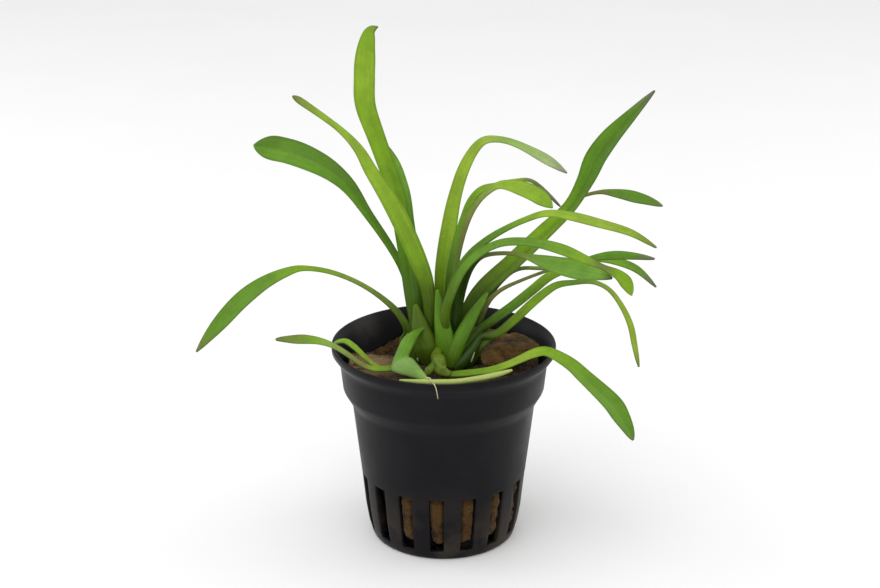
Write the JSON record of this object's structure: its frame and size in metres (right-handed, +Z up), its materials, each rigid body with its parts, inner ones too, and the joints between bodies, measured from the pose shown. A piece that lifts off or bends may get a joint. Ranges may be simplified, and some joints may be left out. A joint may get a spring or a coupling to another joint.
{
  "type": "potted aquarium plant",
  "caption": "Small clump of strap-leaved dwarf sagittaria standing in a black slotted net pot filled with brown rock wool; rests on its flat base.",
  "frame": {"origin": "centre of the pot's flat underside", "axes": "+Z up, -Y towards the front of the plant, +X to the right of the plant as seen from the front"},
  "size_m": [0.1156, 0.0582, 0.1274],
  "materials": {
    "pot_plastic": "satin",
    "rock_wool": "matte",
    "leaf_base": "satin",
    "stem_pale": "satin",
    "leaf_bright": "satin",
    "leaf_mid": "satin",
    "leaf_deep": "satin",
    "leaf_pale": "satin"
  },
  "bodies": {
    "root": {"pot": "pot_plastic", "rockwool_plug": "rock_wool", "rockwool_flap": "rock_wool", "crown_left": "leaf_base", "crown_middle": "leaf_base", "crown_right": "leaf_base", "runner_joint": "stem_pale", "runner_along_rim": "stem_pale", "leaf_left_tall": "leaf_mid", "leaf_left_dark": "leaf_deep", "leaf_left_curled": "leaf_bright", "leaf_left_upper": "leaf_mid", "leaf_left_arching": "leaf_mid", "leaf_left_low": "leaf_pale", "leaf_left_small": "leaf_bright", "leaf_front_folded": "leaf_pale", "leaf_middle_arching": "leaf_bright", "leaf_middle_thin": "leaf_mid", "leaf_middle_short": "leaf_mid", "leaf_right_high_arch": "leaf_bright", "leaf_right_drooping": "leaf_bright", "leaf_right_dark": "leaf_deep", "leaf_right_tall": "leaf_mid", "leaf_right_back": "leaf_mid", "leaf_right_narrow": "leaf_mid", "leaf_right_lower": "leaf_bright", "leaf_right_strap": "leaf_bright", "leaf_right_hanging": "leaf_bright", "leaf_front_over_rim": "leaf_bright"}
  },
  "joints": []
}
